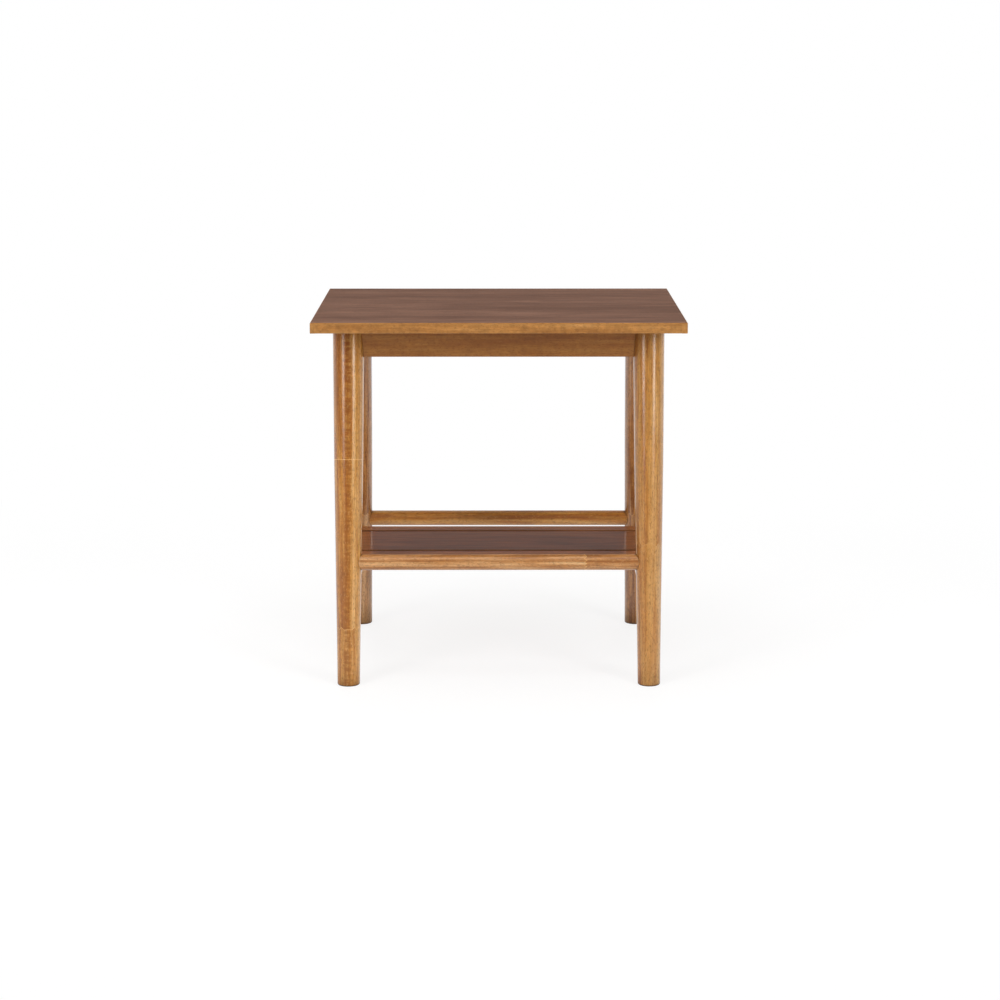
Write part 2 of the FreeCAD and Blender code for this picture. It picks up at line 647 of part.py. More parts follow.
def make_top_screws(doc, node):
    """The screws that hold the top, one up through each corner block."""
    placements = [(top_screw_place(side, end), UPWARDS) for side in SIDES.values() for end in ENDS.values()]
    master = make_screw(doc, "top_screw", TOP_GRIP, TOP_HOLD)
    return make_group(doc, node, master, placements)


def make_shelf_screws(doc, node):
    """The screws up through the side rails, two into the board and one into each slat."""
    height = f"{RAIL_TOP} - {RAIL_GRIP}"
    placements = []
    for side in SIDES.values():
        for end in ENDS.values():
            for place in (BOARD_SCREW_Y, SLAT_Y):
                placements.append(((f"{side} * {LEG_X}", f"{end} * {place}", height), UPWARDS))
    master = make_screw(doc, "shelf_screw", RAIL_GRIP, SHELF_HOLD)
    return make_group(doc, node, master, placements)


# ---------------------------------------------------------------- the table

def make_frame(doc):
    """Legs, aprons, corner blocks, stretchers and side rails."""
    pieces = []
    for end_name, end in ENDS.items():
        for side_name, side in SIDES.items():
            pieces.append(make_leg(doc, f"leg_{end_name}_{side_name}", side, end))
            pieces.append(make_corner_block(doc, f"corner_block_{end_name}_{side_name}", side, end))
        pieces.append(make_long_apron(doc, f"apron_{end_name}", end))
        pieces.append(make_stretcher(doc, f"stretcher_{end_name}", end))
    for side_name, side in SIDES.items():
        pieces.append(make_side_apron(doc, f"apron_{side_name}", side))
        pieces.append(make_rail(doc, f"shelf_rail_{side_name}", side))
    return pieces


def make_shelf(doc):
    """The middle board and the two slats."""
    board_screws = (f"-{BOARD_SCREW_Y}", BOARD_SCREW_Y)
    pieces = [make_shelf_piece(doc, "shelf_board", "0", BOARD_WIDTH, board_screws)]
    for end_name, end in ENDS.items():
        node = f"shelf_slat_{end_name}"
        pieces.append(make_shelf_piece(doc, node, f"{end} * {SLAT_Y}", "sizes.slat_width", ("0",)))
    return pieces


def make_top(doc):
    """The panel, its four edge bands and the veneer; the side bands run the whole depth."""
    pieces = [make_top_panel(doc, "top_panel"), make_face_veneer(doc, "top_face_veneer")]
    for end_name, end in ENDS.items():
        turn = half_turn(end)
        place = ("0", f"{end} * sizes.top_depth / 2", UNDER_TOP)
        length = "(sizes.top_width - 2 * sizes.band_width)"
        band = make_edge_band(doc, f"top_band_{end_name}", length, place, turn)
        ease_band(band, ends_too=False)
        pieces.append(band)
    for side_name, side in SIDES.items():
        turn = 90 * side
        place = (f"{side} * sizes.top_width / 2", "0", UNDER_TOP)
        band = make_edge_band(doc, f"top_band_{side_name}", "sizes.top_depth", place, turn)
        ease_band(band, ends_too=True)
        pieces.append(band)
    return pieces


def make_fixings(doc):
    """Dowel pins and screws, each kind in one node."""
    return [
        make_pins(doc, "apron_dowels"),
        make_block_screws(doc, "block_screws"),
        make_top_screws(doc, "top_screws"),
        make_shelf_screws(doc, "shelf_screws"),
    ]


def check_document(doc, pieces):
    """Stop if any object failed, or if a piece has no valid shape."""
    failed = [item.Name for item in doc.Objects if {"Invalid", "Error"} & set(item.State)]
    empty = [piece.Label for piece in pieces if piece.Shape.isNull() or not piece.Shape.isValid()]
    if failed or empty:
        raise RuntimeError(f"failed objects: {failed}, shapes not valid: {empty}")


def main():
    doc = FreeCAD.newDocument("end_table")
    make_sheet(doc)
    pieces = make_frame(doc) + make_shelf(doc) + make_top(doc) + make_fixings(doc)
    doc.recompute()
    check_document(doc, pieces)
    os.makedirs("parts", exist_ok=True)
    for piece in pieces:
        piece.Shape.exportStep(f"parts/{piece.Label}.step")


main()
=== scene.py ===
import math

import bpy
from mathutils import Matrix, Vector


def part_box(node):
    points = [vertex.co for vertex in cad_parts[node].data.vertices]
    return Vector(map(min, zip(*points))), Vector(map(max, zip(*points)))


# The looks of an end table with a low shelf: lacquered solid wood legs, rails, bands and
# aprons, darker veneered boards, and plain screws. Lengths are in metres, in the CAD frame:
# X to the right, Y from front to back, Z up.

MILLIMETRE = 0.001

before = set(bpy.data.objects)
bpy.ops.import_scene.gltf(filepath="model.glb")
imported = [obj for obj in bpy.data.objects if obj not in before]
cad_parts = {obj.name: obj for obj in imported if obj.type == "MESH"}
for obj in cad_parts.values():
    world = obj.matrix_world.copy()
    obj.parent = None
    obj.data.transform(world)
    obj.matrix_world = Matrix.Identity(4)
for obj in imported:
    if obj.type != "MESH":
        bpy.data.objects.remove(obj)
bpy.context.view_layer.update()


# ---------------------------------------------------------------- camera

SENSOR_WIDTH = 0.036
FOCAL_SHARE = 2.5041        # focal length as a share of the picture's width
CAMERA_PLACE = (-0.0061, -3.8997, 1.0210)
CAMERA_PITCH = math.radians(8.937)
CAMERA_YAW = -0.00214
PICTURE_SHIFT = -0.1        # the table sits above the middle of the picture


def make_camera():
    data = bpy.data.cameras.new("camera")
    data.sensor_width = SENSOR_WIDTH / MILLIMETRE
    data.lens = FOCAL_SHARE * data.sensor_width
    data.shift_y = PICTURE_SHIFT
    camera = bpy.data.objects.new("camera", data)
    camera.location = CAMERA_PLACE
    camera.rotation_euler = (math.pi / 2 - CAMERA_PITCH, 0, CAMERA_YAW)
    bpy.context.collection.objects.link(camera)
    bpy.context.scene.camera = camera


# ---------------------------------------------------------------- nodes

# The sockets of a Mix node that belong to colours: its factor, its two colours and its result.
COLOUR_MIX_INPUTS = (0, 6, 7)
COLOUR_MIX_OUTPUT = 2


class Nodes:
    """Short calls that add nodes to a node tree and link them."""

    def __init__(self, tree):
        self.tree = tree
        self.tree.nodes.clear()

    def add(self, kind, inputs=None, **settings):
        node = self.tree.nodes.new(kind)
        for name, value in settings.items():
            setattr(node, name, value)
        for key, value in (inputs or {}).items():
            self.feed(node.inputs[key], value)
        return node

    def feed(self, socket, value):
        """Link a socket if the value is another node's output, and set it otherwise."""
        if isinstance(value, bpy.types.NodeSocket):
            self.tree.links.new(value, socket)
        else:
            socket.default_value = value

    def math(self, operation, *values):
        inputs = dict(enumerate(values))
        return self.add("ShaderNodeMath", inputs, operation=operation).outputs[0]

    def vector(self, operation, *values):
        inputs = dict(enumerate(values))
        node = self.add("ShaderNodeVectorMath", inputs, operation=operation)
        return node.outputs["Value" if operation in ("DOT_PRODUCT", "LENGTH") else "Vector"]

    def combine(self, x, y, z):
        return self.add("ShaderNodeCombineXYZ", {0: x, 1: y, 2: z}).outputs[0]

    def split(self, vector):
        return self.add("ShaderNodeSeparateXYZ", {0: vector}).outputs

    def ramp(self, factor, stops):
        node = self.add("ShaderNodeValToRGB", {0: factor})
        elements = node.color_ramp.elements
        while len(elements) < len(stops):
            elements.new(1)
        for element, (place, colour) in zip(elements, stops):
            element.position = place
            element.color = opaque(colour)
        return node.outputs[0]

    def fade(self, value, low, high, to_low=0.0, to_high=1.0):
        """A smooth step of a value between two limits."""
        node = self.add("ShaderNodeMapRange", interpolation_type="SMOOTHSTEP")
        for socket, entry in zip(node.inputs, (value, low, high, to_low, to_high)):
            self.feed(socket, entry)
        return node.outputs[0]

    def mix(self, factor, first, second, blend="MIX"):
        node = self.add("ShaderNodeMix", data_type="RGBA", blend_type=blend)
        for number, value in zip(COLOUR_MIX_INPUTS, (factor, first, second)):
            self.feed(node.inputs[number], value)
        return node.outputs[COLOUR_MIX_OUTPUT]

    def mix_shaders(self, factor, first, second):
        return self.add("ShaderNodeMixShader", {0: factor, 1: first, 2: second}).outputs[0]

    def noise(self, vector, detail=2.0, roughness=0.5, distortion=0.0, scale=1.0):
        inputs = {"Vector": vector, "Scale": scale, "Detail": detail, "Roughness": roughness,
                  "Distortion": distortion}
        return self.add("ShaderNodeTexNoise", inputs).outputs["Fac"]


# ---------------------------------------------------------------- wood

def srgb(red, green, blue):
    """A colour given in the 0 to 255 steps of a screen, as light."""
    return tuple(linear(part / 255) for part in (red, green, blue))


def linear(value):
    return value / 12.92 if value <= 0.04045 else ((value + 0.055) / 1.055) ** 2.4


def grey(value):
    return (value, value, value)


def opaque(colour):
    return (*colour, 1)


X_AXIS = (1, 0, 0)
Y_AXIS = (0, 1, 0)

FINGER_PITCH = 5 * MILLIMETRE
GLUE_CORE = 0.2 * MILLIMETRE
GLUE_REACH = 1.1 * MILLIMETRE
NEXT_LENGTH = (0.9, 0.137, 0.211)   # how far off in the log the next length is cut
RING_PITCH = 11 * MILLIMETRE
RING_BOW = 34                       # how many rings the noise can bend a growth line by
DARKEST_TONE = 0.36                 # the tones at which the first and the last colour lie
LIGHTEST_TONE = 0.64
HEART_SWAY = (9, 20, 20)            # features a metre of the noise that bends a heart
LIGHT_EDGE_RADIUS = 1.2 * MILLIMETRE
CREASE_REACH = 8 * MILLIMETRE
SHELTER_REACH = 70 * MILLIMETRE
BUMP_HEIGHT = 0.12 * MILLIMETRE

# Mean roughness under the lacquer, weight of the lacquer, its own roughness and its index.
FINISHES = {
    "satin": (0.42, 0.9, 0.19, 1.62),
    "soft": (0.45, 0.8, 0.36, 1.5),
    "rubbed": (0.5, 0.3, 0.35, 1.5),
    "polished": (0.55, 0.12, 0.3, 1.5),
    "glossy": (0.36, 1.0, 0.12, 1.5),
    "bare": (0.7, 0.0, 0.5, 1.5),
}


def grain_frame(nodes, along, origin):
    """Coordinates of a piece of wood: along its grain, and two ways across it, in metres."""
    along = Vector(along).normalized()
    across = Vector(Y_AXIS if abs(along.x) > 0.5 else X_AXIS)
    up = along.cross(across)
    place = nodes.add("ShaderNodeTexCoord").outputs["Object"]
    place = nodes.vector("SUBTRACT", place, tuple(origin))
    parts = [nodes.vector("DOT_PRODUCT", place, tuple(axis)) for axis in (along, across, up)]
    return nodes.combine(*parts)


def cut_into_lengths(nodes, place, joints):
    """Take each length between two joints from another part of the log.

    A joint is its place along the grain, the length of its fingers, how much lighter the wood
    is beyond it, and how bright its glue line is. Gives the moved coordinates, the added tone
    and a mask of the glue lines.
    """
    along, _, up = nodes.split(place)
    tooth = nodes.math("PINGPONG", nodes.math("ADD", up, 1), FINGER_PITCH / 2)
    tooth = nodes.math("MULTIPLY", tooth, 2 / FINGER_PITCH)
    number = 0
    tone = 0
    glue = 0
    for joint, finger, lighter, shine in joints:
        edge = nodes.math("ADD", along, nodes.math("MULTIPLY", tooth, finger))
        beyond = nodes.math("GREATER_THAN", edge, joint)
        number = nodes.math("ADD", beyond, number)
        tone = nodes.math("ADD", nodes.math("MULTIPLY", beyond, lighter), tone)
        distance = nodes.math("ABSOLUTE", nodes.math("SUBTRACT", edge, joint))
        glue = nodes.math("MAXIMUM", nodes.fade(distance, GLUE_CORE, GLUE_REACH, shine, 0), glue)
    step = nodes.combine(*(nodes.math("MULTIPLY", number, part) for part in NEXT_LENGTH))
    return nodes.vector("ADD", place, step), tone, glue


def scaled(nodes, place, seed, along, across):
    """Coordinates for a noise that has `along` features a metre along the grain."""
    shifted = nodes.vector("ADD", place, (seed, 1.7 * seed, 2.3 * seed))
    return nodes.vector("MULTIPLY", shifted, (along, across, across))


def around_one(nodes, value, strength):
    """A noise brought round to a factor that runs about as far below 1 as above it."""
    swing = nodes.math("MULTIPLY", nodes.math("SUBTRACT", value, 0.5), 2 * strength)
    return nodes.math("ADD", swing, 1)


def heart_mask(nodes, place, heart):
    """Nearness to a heart, a streak of another colour that runs along the piece.

    A heart is the axis across the piece and the place on it where it runs, its width and its
    colour. It grows to full strength between the two places in `deepens`, from `start`, and
    has so many `ripples` a metre.
    """
    parts = nodes.split(place)
    sway = nodes.noise(nodes.vector("MULTIPLY", place, HEART_SWAY), detail=2)
    sway = nodes.math("MULTIPLY", nodes.math("SUBTRACT", sway, 0.5), heart["width"])
    across = nodes.math("ADD", parts[heart["axis"]], sway)
    distance = nodes.math("ABSOLUTE", nodes.math("SUBTRACT", across, heart["offset"]))
    near = nodes.fade(distance, 0.2 * heart["width"], 0.8 * heart["width"], 1, 0)
    depth = nodes.fade(parts[0], *heart["deepens"], heart["start"], 1)
    return nodes.math("MULTIPLY", near, depth)


def worn_and_highlit_edges(nodes):
    """1 on the edges of a piece and 0 on its faces, where the colour is lightened as wear and as
    a painted highlight.
    """
    rounded = nodes.add("ShaderNodeBevel", {"Radius": LIGHT_EDGE_RADIUS}, samples=6).outputs[0]
    normal = nodes.add("ShaderNodeNewGeometry").outputs["Normal"]
    likeness = nodes.vector("DOT_PRODUCT", rounded, normal)
    return nodes.fade(likeness, 0.85, 0.995, 1, 0)


def growth_lines(nodes, place, seed):
    """Late wood of the growth rings on a flat face: darkens slowly up to 1, then falls to 0."""
    bow = nodes.noise(scaled(nodes, place, seed, 1.1, 4), detail=3, roughness=0.45)
    across = nodes.split(place)[1]
    level = nodes.math("DIVIDE", across, RING_PITCH)
    rings = nodes.math("ADD", level, nodes.math("MULTIPLY", bow, RING_BOW))
    return nodes.math("POWER", nodes.math("FRACT", rings), 2.5)


def edge_faces(nodes):
    """1 on the upright faces round a level board and 0 on its wide faces."""
    normal = nodes.add("ShaderNodeNewGeometry").outputs["Normal"]
    facing = nodes.split(normal)[2]
    return nodes.fade(nodes.math("ABSOLUTE", facing), 0.8, 0.97, 1, 0)


def grain_tone(nodes, place, seed, streak):
    """Light and dark streaks along the grain, around 0.5."""
    broad = scaled(nodes, place, seed, 1.8, streak)
    broad = nodes.noise(broad, detail=3, roughness=0.55, distortion=0.3)
    narrow = nodes.noise(scaled(nodes, place, seed + 0.4, 12, 5 * streak), detail=2)
    return nodes.math("ADD", nodes.math("MULTIPLY", broad, 0.55),
                      nodes.math("MULTIPLY", narrow, 0.45))


def spread(colours):
    """Colours at even steps from the darkest tone to the lightest, as the stops of a ramp."""
    step = (LIGHTEST_TONE - DARKEST_TONE) / (len(colours) - 1)
    return [(DARKEST_TONE + step * index, colour) for index, colour in enumerate(colours)]


def tint(nodes, colour, factor):
    """Multiply a colour by a factor that varies over the surface."""
    return nodes.mix(1.0, colour, nodes.combine(factor, factor, factor), "MULTIPLY")


def shaded(colour, factor):
    return opaque(min(1.0, part * factor) for part in colour)


def add_heart(nodes, colour, place, piece_place, seed, heart):
    """The heart runs through the joints of a piece, and its ripples don't."""
    waves = nodes.noise(scaled(nodes, place, seed + 0.6, heart["ripples"], 60), detail=3)
    waves = nodes.fade(waves, 0.35, 0.62, 0.4, 1)
    mask = nodes.math("MULTIPLY", heart_mask(nodes, piece_place, heart), waves)
    return nodes.mix(mask, colour, opaque(heart["colour"]))


def add_marks(nodes, colour, place, seed, mark):
    """Dots along the grain, pores or flecks. Gives their mask and the marked colour.

    A mark is its features a metre along the grain and across it, the two values of the noise
    between which it appears, its strength and its colour.
    """
    along, across, low, high, share, dot = mark
    dots = nodes.noise(scaled(nodes, place, seed, along, across), detail=1)
    dots = nodes.fade(dots, low, high)
    return dots, nodes.mix(nodes.math("MULTIPLY", dots, share), colour, dot)


def add_crease_shade(nodes, colour, crease):
    """Painted shade where two pieces meet: the colour darkens towards a dark brown in creases."""
    hollow = nodes.add("ShaderNodeAmbientOcclusion", {"Distance": CREASE_REACH}, samples=6)
    crease_darkening = nodes.fade(hollow.outputs["AO"], 0.3, 0.85, 1, 0)
    return nodes.mix(nodes.math("MULTIPLY", crease_darkening, crease), colour, opaque(CREASE_SHADE))


def make_wood(name, colours, along=X_AXIS, origin=(0, 0, 0), seed=0.0, joints=(), heart=None,
              streak=60, slant=None, ripple=0.08, fibre=0.10, pores=0.4, flecks=0.2, wear_and_highlight=0.3,
              crease=0.8, shelter=1.0, rings=0, edge_colours=None, finish="satin"):
    """Lacquered wood.

    The colours run from the darkest streak to the lightest, and `edge_colours` take their
    place on the upright faces of a board. `along` is the grain's direction, `streak` how many
    streaks there are to a metre across it, and `slant` an axis and how fast the wood gets
    lighter along it. `shelter` is the share of the colour left deep between pieces, where
    shade is painted and the lacquer is dimmed. `ripple`, `fibre`, `pores`, `flecks`,
    `wear_and_highlight`,
    `crease` and `rings` are the strengths of the mottle, the fibres, the dark pores, the light
    flecks, the lighter edges (partly wear, partly a painted highlight), the painted shade in
    creases and the growth lines.
    """
    material = bpy.data.materials.new(name)
    material.use_nodes = True
    nodes = Nodes(material.node_tree)
    piece_place = place = grain_frame(nodes, along, origin)
    if joints:
        place, lighter, glue = cut_into_lengths(nodes, place, joints)

    tone = grain_tone(nodes, place, seed, streak)
    if joints:
        tone = nodes.math("ADD", tone, lighter)
    if slant:
        axis, steepness = slant
        lean = nodes.math("MULTIPLY", nodes.split(piece_place)[axis], steepness)
        tone = nodes.math("ADD", tone, lean)
    colour = nodes.ramp(tone, spread(colours))
    if heart:
        colour = add_heart(nodes, colour, place, piece_place, seed, heart)
    if rings:
        late = nodes.math("MULTIPLY", growth_lines(nodes, place, seed + 2.4), rings)
        colour = nodes.mix(late, colour, shaded(colours[0], 0.7))
    if edge_colours:
        colour = nodes.mix(edge_faces(nodes), colour, nodes.ramp(tone, spread(edge_colours)))

    mottle = nodes.noise(scaled(nodes, place, seed + 0.8, 120, 110), detail=2)
    fibres = nodes.noise(scaled(nodes, place, seed + 1.2, 30, 600), detail=3, roughness=0.6)
    colour = tint(nodes, colour, nodes.math("MULTIPLY", around_one(nodes, mottle, 3 * ripple),
                                              around_one(nodes, fibres, 3 * fibre)))
    pore, colour = add_marks(nodes, colour, place, seed + 1.6,
                             (210, 560, 0.56, 0.66, pores, shaded(colours[0], 0.6)))
    _, colour = add_marks(nodes, colour, place, seed + 2.0,
                          (190, 420, 0.60, 0.70, flecks, shaded(colours[-1], 1.1)))
    if joints:
        colour = nodes.mix(glue, colour, opaque(GLUE))
    # The edges are lightened: partly wear, partly a painted highlight on their rounding.
    if wear_and_highlight:
        lighter_edges = nodes.math("MULTIPLY", worn_and_highlit_edges(nodes), wear_and_highlight)
        colour = nodes.mix(lighter_edges, colour, shaded(colours[-1], 1.2))
    # Painted shade: the colour darkens in the creases between pieces.
    if crease:
        colour = add_crease_shade(nodes, colour, crease)
    roughness, coat, coat_roughness, coat_index = FINISHES[finish]
    # Painted shade: deep between pieces the colour darkens, and the lacquer is dimmed there so
    # that its highlights fade under the top.
    if shelter < 1:
        around = nodes.add("ShaderNodeAmbientOcclusion", {"Distance": SHELTER_REACH}, samples=8)
        open_sky = around.outputs["AO"]
        colour = tint(nodes, colour, nodes.fade(open_sky, 0.35, 0.85, shelter, 1))
        coat = nodes.fade(open_sky, 0.45, 0.8, 0.1 * coat, coat)

    height = nodes.math("SUBTRACT", nodes.math("MULTIPLY", fibres, 0.4), pore)
    bump = nodes.add("ShaderNodeBump",
                     {"Strength": 0.2, "Distance": BUMP_HEIGHT, "Height": height})
    rough = nodes.fade(fibres, 0.2, 0.8, roughness - 0.05, roughness + 0.07)
    shader = nodes.add("ShaderNodeBsdfPrincipled", {
        "Base Color": colour, "Roughness": rough, "Normal": bump.outputs[0],
        "Specular IOR Level": 0.25, "Coat Weight": coat, "Coat Roughness": coat_roughness,
        "Coat IOR": coat_index,
    })
    nodes.add("ShaderNodeOutputMaterial", {"Surface": shader.outputs[0]})
    return material


# ---------------------------------------------------------------- finishes

GOLDEN = (srgb(164, 97, 29), srgb(193, 127, 47), srgb(207, 149, 71), srgb(224, 172, 104))
DEEP_GOLD = (srgb(155, 92, 34), srgb(183, 121, 50), srgb(196, 141, 70), srgb(212, 162, 97))
LIGHT_GOLD = srgb(203, 149, 82)
ORANGE = srgb(147, 82, 21)
TAN = (srgb(150, 95, 45), srgb(182, 123, 64), srgb(205, 152, 97), srgb(216, 173, 121))
REAR_TAN = (srgb(147, 92, 45), srgb(190, 130, 69), srgb(203, 149, 88), srgb(218, 168, 112))
BAND = (srgb(155, 102, 46), srgb(172, 119, 59), srgb(187, 136, 77))
APRON = (srgb(138, 84, 35), srgb(152, 98, 42), srgb(165, 112, 53))
# The top's greyish brown is partly its stain and partly a painted grey sheen.
DARK = (srgb(96, 61, 41), srgb(114, 77, 57), srgb(137, 97, 75))
SHELF = (srgb(116, 62, 32), srgb(140, 77, 42), srgb(164, 96, 53))
SLAT = (srgb(136, 73, 32), srgb(158, 88, 42), srgb(182, 108, 56))
EDGE = (srgb(95, 60, 36), srgb(127, 82, 49))
# The dark brown that is painted into creases as shade.
CREASE_SHADE = srgb(77, 49, 27)
GLUE = srgb(253, 201, 119)
BLOCK = (srgb(192, 153, 108), srgb(218, 182, 134), srgb(234, 201, 158))


def set_material(node, material):
    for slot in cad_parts[node].material_slots:
        slot.material = material


LEG_LEAN = 0.15             # how far the grain moves out for each metre up
FOOT_RADIUS = 16.8 * MILLIMETRE
# How much of a leg's colour is left where painted shade darkens it deep between pieces.
LEG_SHELTER = 0.5
LEG_LOOKS = {
    # Towards the top the front left leg's heart deepens and the front right leg's upper length is
    # darker: their wood's own streaks, and partly painted shade under the top.
    "leg_front_left": dict(
        colours=GOLDEN, seed=3.1, slant=(1, 4.5),
        joints=((0.088, 0.004, 0.0, 0.3), (0.343, 0.0, -0.03, 0.5)),
        heart=dict(axis=1, offset=-0.001, width=0.012, colour=ORANGE, deepens=(0.2, 0.42),
                   start=0.75, ripples=260)),
    "leg_front_right": dict(
        colours=DEEP_GOLD, seed=4.4, slant=(1, 1.0), joints=((0.215, 0.004, -0.015, 0.12),),
        heart=dict(axis=1, offset=0.002, width=0.009, colour=LIGHT_GOLD, deepens=(0.44, 0.3),
                   start=0.0, ripples=10)),
    # Above its joint each rear leg is darker: painted shade where the front leg and the apron
    # shade it.
    "leg_rear_left": dict(colours=REAR_TAN, seed=5.7, joints=((0.2, 0.004, -0.08, 0.2),)),
    "leg_rear_right": dict(colours=REAR_TAN, seed=7.0, joints=((0.2, 0.004, -0.05, 0.2),)),
}
GRAIN_TILT = {"leg_front_right": 0.03}


def make_legs():
    for node, looks in LEG_LOOKS.items():
        low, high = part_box(node)
        outward = -1 if "front" in node else 1
        foot_y = low[1] if outward < 0 else high[1]
        origin = ((low[0] + high[0]) / 2, foot_y - outward * FOOT_RADIUS, 0)
        along = (GRAIN_TILT.get(node, 0), -outward * LEG_LEAN, 1)
        wood = make_wood(f"{node}_wood", along=along, origin=origin, shelter=LEG_SHELTER, **looks)
        set_material(node, wood)


def make_screw_steel():
    material = bpy.data.materials.new("screw_metal")
    material.use_nodes = True
    nodes = Nodes(material.node_tree)
    place = nodes.add("ShaderNodeTexCoord").outputs["Object"]
    spots = nodes.noise(place, detail=3, scale=900)
    rough = nodes.fade(spots, 0.3, 0.7, 0.3, 0.45)
    colour = nodes.ramp(spots, ((0.3, srgb(150, 146, 132)), (0.7, srgb(190, 186, 170))))
    shader = nodes.add("ShaderNodeBsdfPrincipled",
                       {"Base Color": colour, "Roughness": rough, "Metallic": 1.0})
    nodes.add("ShaderNodeOutputMaterial", {"Surface": shader.outputs[0]})
    return material


STRETCHER_HEART = dict(axis=2, offset=0.004, colour=srgb(155, 95, 42), deepens=(-1, 0), start=0.9,
                       ripples=10)


def stretcher_axis(node):
    low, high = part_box(node)
    return tuple((first + last) / 2 for first, last in zip(low, high))


# Each look, and the nodes that carry it.
WOODS = (
    (dict(name="top_veneer", colours=DARK, seed=0.7, streak=18, ripple=0.03, fibre=0.08,
          pores=0.35, flecks=0.15, rings=0.3, finish="polished", wear_and_highlight=0, crease=0,
          edge_colours=BAND[:2]),
     ("top_face_veneer",)),
    (dict(name="panel_wood", colours=APRON, seed=4.4, streak=20, finish="bare", wear_and_highlight=0),
     ("top_panel",)),
    (dict(name="shelf_veneer", colours=SHELF, seed=5.2, streak=20, ripple=0.03, fibre=0.05,
          pores=0.2, flecks=0.1, rings=0.25, crease=0.3, edge_colours=EDGE, finish="glossy"),
     ("shelf_board",)),
    (dict(name="slat_wood", colours=SLAT, seed=6.2, streak=30, ripple=0.04, fibre=0.06,
          pores=0.2, flecks=0.1, crease=0.3, edge_colours=EDGE, finish="glossy"),
     ("shelf_slat_front", "shelf_slat_rear")),
    (dict(name="band_wood", colours=BAND, seed=1.9, streak=30, ripple=0.16, wear_and_highlight=0.5,
          finish="rubbed"),
     ("top_band_front", "top_band_rear")),
    (dict(name="side_band_wood", colours=BAND, seed=2.9, streak=30, ripple=0.16, along=Y_AXIS,
          wear_and_highlight=0.5, finish="rubbed"),
     ("top_band_left", "top_band_right")),
    (dict(name="apron_wood", colours=APRON, seed=7.9, streak=30, finish="rubbed"),
     ("apron_front", "apron_rear")),
    (dict(name="side_apron_wood", colours=APRON, seed=8.9, streak=30, along=Y_AXIS,
          finish="rubbed"),
     ("apron_left", "apron_right")),
    # The front stretcher darkens towards its top: painted shade that tones down the overhead
    # lamp's light on its upper side.
    (dict(name="front_stretcher_wood", finish="soft", colours=TAN, seed=9.9, streak=45,
          joints=((0.134, 0.004, -0.05, 0.45),), slant=(2, -3),
          origin=stretcher_axis("stretcher_front"), heart=dict(STRETCHER_HEART, width=0.003)),
     ("stretcher_front",)),
    (dict(name="rear_stretcher_wood", finish="soft", colours=DEEP_GOLD, seed=10.4, streak=45,
          joints=((0.06, 0.004, 0.0, 0.15),),
          origin=stretcher_axis("stretcher_rear"), heart=dict(STRETCHER_HEART, width=0.007)),
     ("stretcher_rear",)),
    (dict(name="rail_wood", colours=TAN, seed=10.9, along=Y_AXIS),
     ("shelf_rail_left", "shelf_rail_right")),
    (dict(name="block_wood", colours=BLOCK, seed=11.9, finish="bare", along=(1, 1, 0)),
     ("corner_block_front_left", "corner_block_front_right",
      "corner_block_rear_left", "corner_block_rear_right")),
    (dict(name="pin_wood", colours=BLOCK, seed=12.9, finish="bare"), ("apron_dowels",)),
)


def finish_pieces():
    make_legs()
    for looks, carriers in WOODS:
        material = make_wood(**looks)
        for node in carriers:
            set_material(node, material)
    steel = make_screw_steel()
    for node in ("block_screws", "top_screws", "shelf_screws"):
        set_material(node, steel)


# ---------------------------------------------------------------- stage

WHITE = (1, 1, 1, 1)
FLOOR_SIZE = 60
FLOOR_PAINT = 0.86
SHADOW_REACH = 1.6      # where the shadow has faded out, from the middle of the table
FLOOR_LIFT = 0.81       # the glow and the diffuse share of the floor that the camera sees
FLOOR_SHADE = 0.22
FILL_LIGHT = 0.205

# The room that lacquer mirrors: how bright it is at each height of the direction, from level
# to straight up. It is dimmer than the white that the camera sees.
ROOM_LIGHT = ((0.0, grey(0.08)), (0.25, grey(0.10)), (0.5, grey(0.6)), (1.0, grey(0.6)))


def make_floor():
    """A white floor. The camera sees it lifted to white, with the table's soft shadow kept."""
    bpy.ops.mesh.primitive_plane_add(size=FLOOR_SIZE, location=(0, 0, 0))
    floor = bpy.context.object
    floor.name = "floor"
    material = bpy.data.materials.new("floor_paint")
    material.use_nodes = True
    nodes = Nodes(material.node_tree)
    paint = nodes.add("ShaderNodeBsdfDiffuse", {"Color": opaque(grey(FLOOR_PAINT))})
    lift = nodes.add("ShaderNodeEmission", {"Color": WHITE, "Strength": FLOOR_LIFT})
    shade = nodes.add("ShaderNodeBsdfDiffuse", {"Color": opaque(grey(FLOOR_SHADE))})
    lifted = nodes.add("ShaderNodeAddShader", {0: shade.outputs[0], 1: lift.outputs[0]})
    white = nodes.add("ShaderNodeEmission", {"Color": WHITE, "Strength": 1.0})
    place = nodes.add("ShaderNodeTexCoord").outputs["Object"]
    away = nodes.fade(nodes.vector("LENGTH", place), SHADOW_REACH / 2, SHADOW_REACH)
    backdrop = nodes.mix_shaders(away, lifted.outputs[0], white.outputs[0])
    path = nodes.add("ShaderNodeLightPath").outputs
    bounced = nodes.math("MAXIMUM", path["Is Glossy Ray"], path["Is Transmission Ray"])
    mirrored = nodes.mix_shaders(bounced, paint.outputs[0], white.outputs[0])
    both = nodes.mix_shaders(path["Is Camera Ray"], mirrored, backdrop)
    nodes.add("ShaderNodeOutputMaterial", {"Surface": both})
    floor.data.materials.append(material)


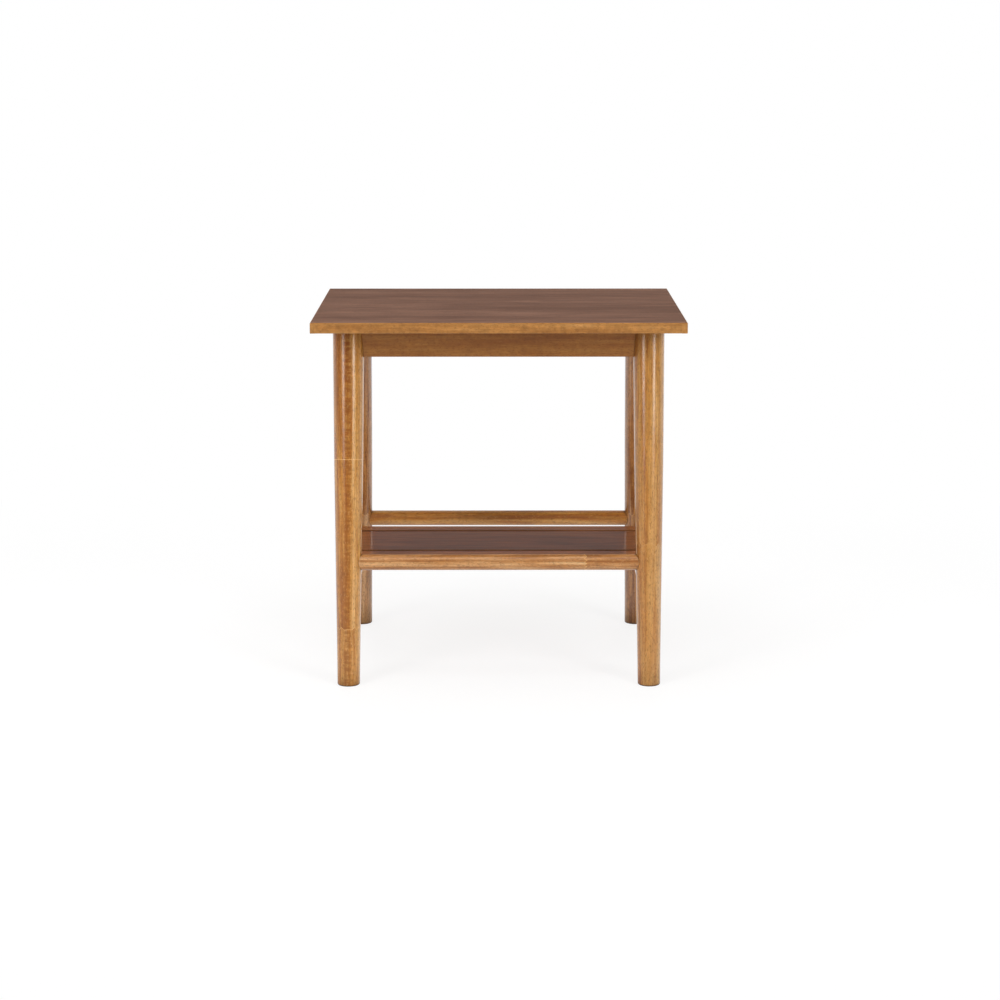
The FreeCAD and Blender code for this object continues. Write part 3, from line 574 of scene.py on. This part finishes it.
def make_world():
    """White to the camera, an even fill light to the wood, and a dim room to its lacquer."""
    world = bpy.data.worlds.new("studio")
    world.use_nodes = True
    bpy.context.scene.world = world
    nodes = Nodes(world.node_tree)
    white = nodes.add("ShaderNodeBackground", {"Color": WHITE, "Strength": 1.0})
    fill = nodes.add("ShaderNodeBackground", {"Color": WHITE, "Strength": FILL_LIGHT})
    direction = nodes.add("ShaderNodeTexCoord").outputs["Generated"]
    room = nodes.ramp(nodes.split(direction)[2], ROOM_LIGHT)
    reflected = nodes.add("ShaderNodeBackground", {"Color": room, "Strength": 1.0})
    path = nodes.add("ShaderNodeLightPath").outputs
    lit = nodes.mix_shaders(path["Is Glossy Ray"], fill.outputs[0], reflected.outputs[0])
    seen = nodes.math("MAXIMUM", path["Is Camera Ray"], path["Is Transmission Ray"])
    both = nodes.mix_shaders(seen, lit, white.outputs[0])
    nodes.add("ShaderNodeOutputWorld", {"Surface": both})


# Each lamp: its place, the point it faces, its width and height, its power in watts, and
# whether lacquer mirrors it. The strips draw the streaks on the round legs. The soft lamps
# aren't mirrored, because they would burn out the top and the shelf from behind.
LAMPS = {
    "overhead": ((-0.3, -0.6, 3.0), (0, 0, 0.3), 2.4, 2.0, 42.6, True),
    "strip_left": ((-2.1, -2.6, 0.83), (0, 0, 0.78), 1.0, 0.3, 7.2, True),
    "strip_right": ((2.1, -2.6, 0.83), (0, 0, 0.78), 1.0, 0.3, 8.5, True),
    "soft_left": ((-2.1, -2.6, 1.84), (0, 0, 1.7), 1.0, 1.7, 33.6, False),
    "soft_right": ((2.1, -2.6, 1.84), (0, 0, 1.7), 1.0, 1.7, 39.8, False),
    "soft_rear": ((0, 3.2, 1.6), (0, 0, 0.3), 3.0, 1.6, 41, False),
    "strip_rear_left": ((-2.1, 2.6, 0.83), (0, 0, 0.78), 1.0, 0.3, 4, True),
    "strip_rear_right": ((2.1, 2.6, 0.83), (0, 0, 0.78), 1.0, 0.3, 4, True),
}


def make_lamp(name, place, target, width, height, power, mirrored):
    data = bpy.data.lights.new(name, "AREA")
    data.shape = "RECTANGLE"
    data.size = width
    data.size_y = height
    data.energy = power
    lamp = bpy.data.objects.new(name, data)
    lamp.visible_glossy = mirrored
    lamp.location = place
    aim = Vector(target) - Vector(place)
    lamp.rotation_euler = aim.to_track_quat("-Z", "Y").to_euler()
    bpy.context.collection.objects.link(lamp)


def make_stage():
    make_floor()
    make_world()
    for name, settings in LAMPS.items():
        make_lamp(name, *settings)


make_camera()
make_stage()
finish_pieces()
bpy.context.scene.view_settings.view_transform = "Standard"
